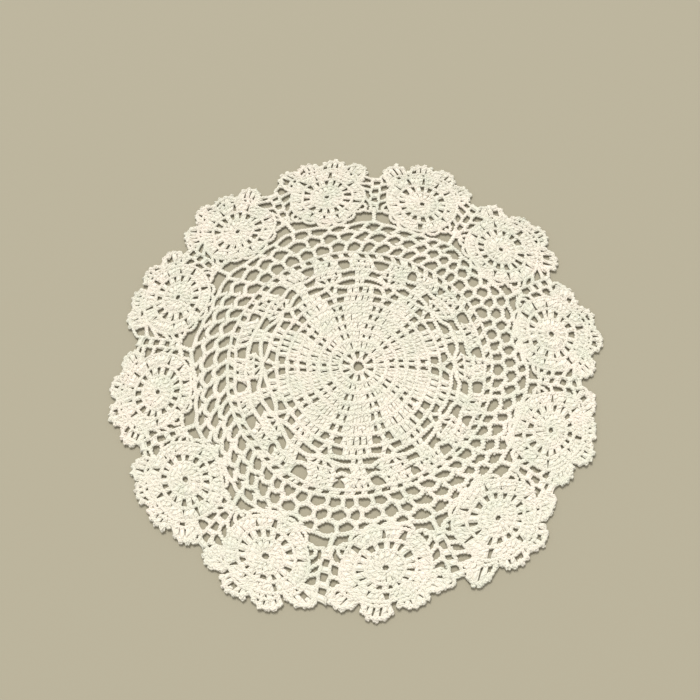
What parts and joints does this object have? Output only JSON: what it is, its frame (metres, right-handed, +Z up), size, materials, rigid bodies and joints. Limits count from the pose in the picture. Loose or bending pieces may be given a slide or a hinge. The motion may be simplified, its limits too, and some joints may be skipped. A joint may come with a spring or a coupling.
{
  "type": "crocheted lace doily",
  "caption": "Round cream cotton doily: a crocheted panel of petals, shells and open net, edged with joined wheels that end in scallops.",
  "frame": {"origin": "on the surface the doily lies on, under the middle of its bounding box", "axes": "+Z up through the doily's face, +X to its right and +Y away from the viewer as it is shown"},
  "size_m": [0.346, 0.3459, 0.0026],
  "materials": {
    "panel_cotton": "matt crocheted cotton yarn, cream",
    "wheel_cotton": "matt crocheted cotton yarn, cream"
  },
  "bodies": {
    "root": {"centre_panel": "panel_cotton", "wheel_01": "wheel_cotton", "wheel_02": "wheel_cotton", "wheel_03": "wheel_cotton", "wheel_04": "wheel_cotton", "wheel_05": "wheel_cotton", "wheel_06": "wheel_cotton", "wheel_07": "wheel_cotton", "wheel_08": "wheel_cotton", "wheel_09": "wheel_cotton", "wheel_10": "wheel_cotton", "wheel_11": "wheel_cotton", "wheel_12": "wheel_cotton"}
  },
  "joints": []
}
